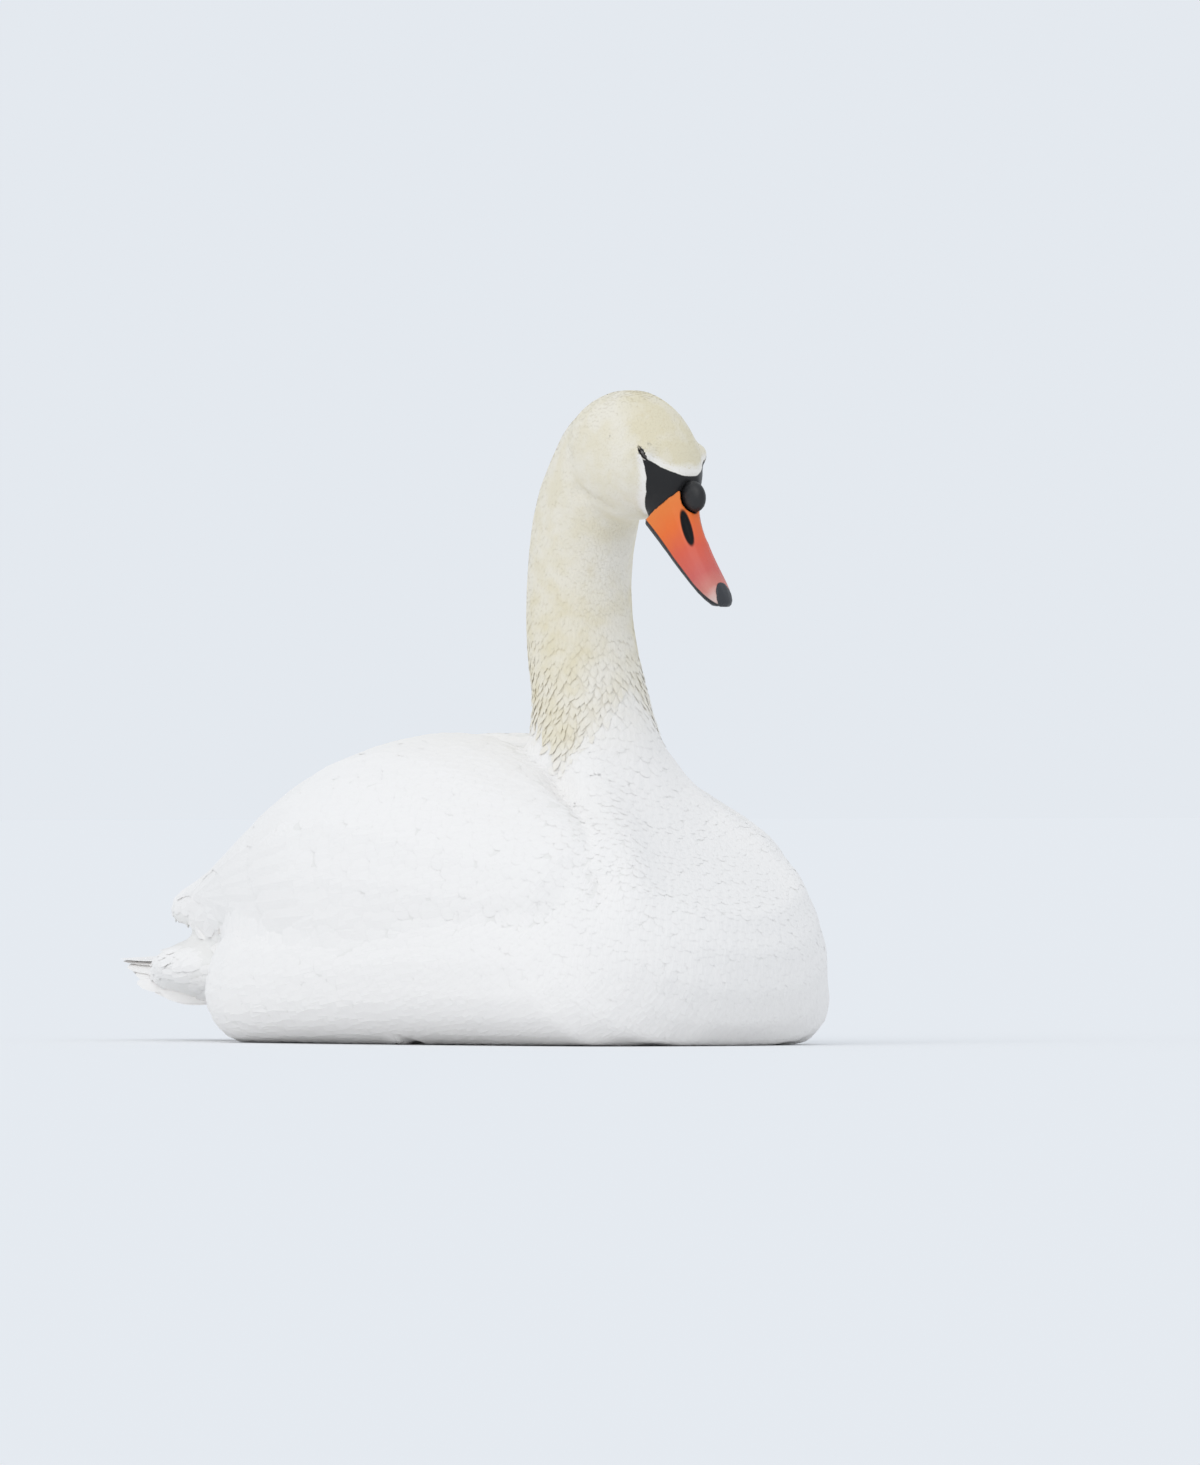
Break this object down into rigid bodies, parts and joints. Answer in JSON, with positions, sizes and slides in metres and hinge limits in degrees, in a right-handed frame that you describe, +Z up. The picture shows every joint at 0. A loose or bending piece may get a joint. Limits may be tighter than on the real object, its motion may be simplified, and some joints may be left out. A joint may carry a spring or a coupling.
{
  "type": "mute swan",
  "caption": "Adult mute swan resting on the ground, wings folded, neck upright and gently curved, orange bill lowered, black knob and face, white feathers.",
  "frame": {"origin": "middle of the footprint box, on the floor that the belly rests on", "axes": "+Z up, the bird faces -Y, its left side is +X"},
  "size_m": [0.331, 0.7278, 0.5067],
  "materials": {
    "white_plumage": "soft matte feathers",
    "cream_plumage": "soft matte feathers with a cream stain",
    "black_skin": "bare skin, slight sheen",
    "orange_bill": "waxy horn, satin",
    "black_horn": "hard horn, satin",
    "eye": "wet and glossy",
    "foot_skin": "scaled skin, matte"
  },
  "bodies": {
    "root": {"trunk": "white_plumage", "wing_left": "white_plumage", "wing_right": "white_plumage", "tail": "white_plumage", "neck": "cream_plumage", "head": "cream_plumage", "face_mask": "black_skin", "bill_knob": "black_skin", "bill_upper": "orange_bill", "bill_lower": "black_horn", "bill_nail": "black_horn", "eye_left": "eye", "eye_right": "eye", "leg_left": "foot_skin", "leg_right": "foot_skin"}
  },
  "joints": []
}
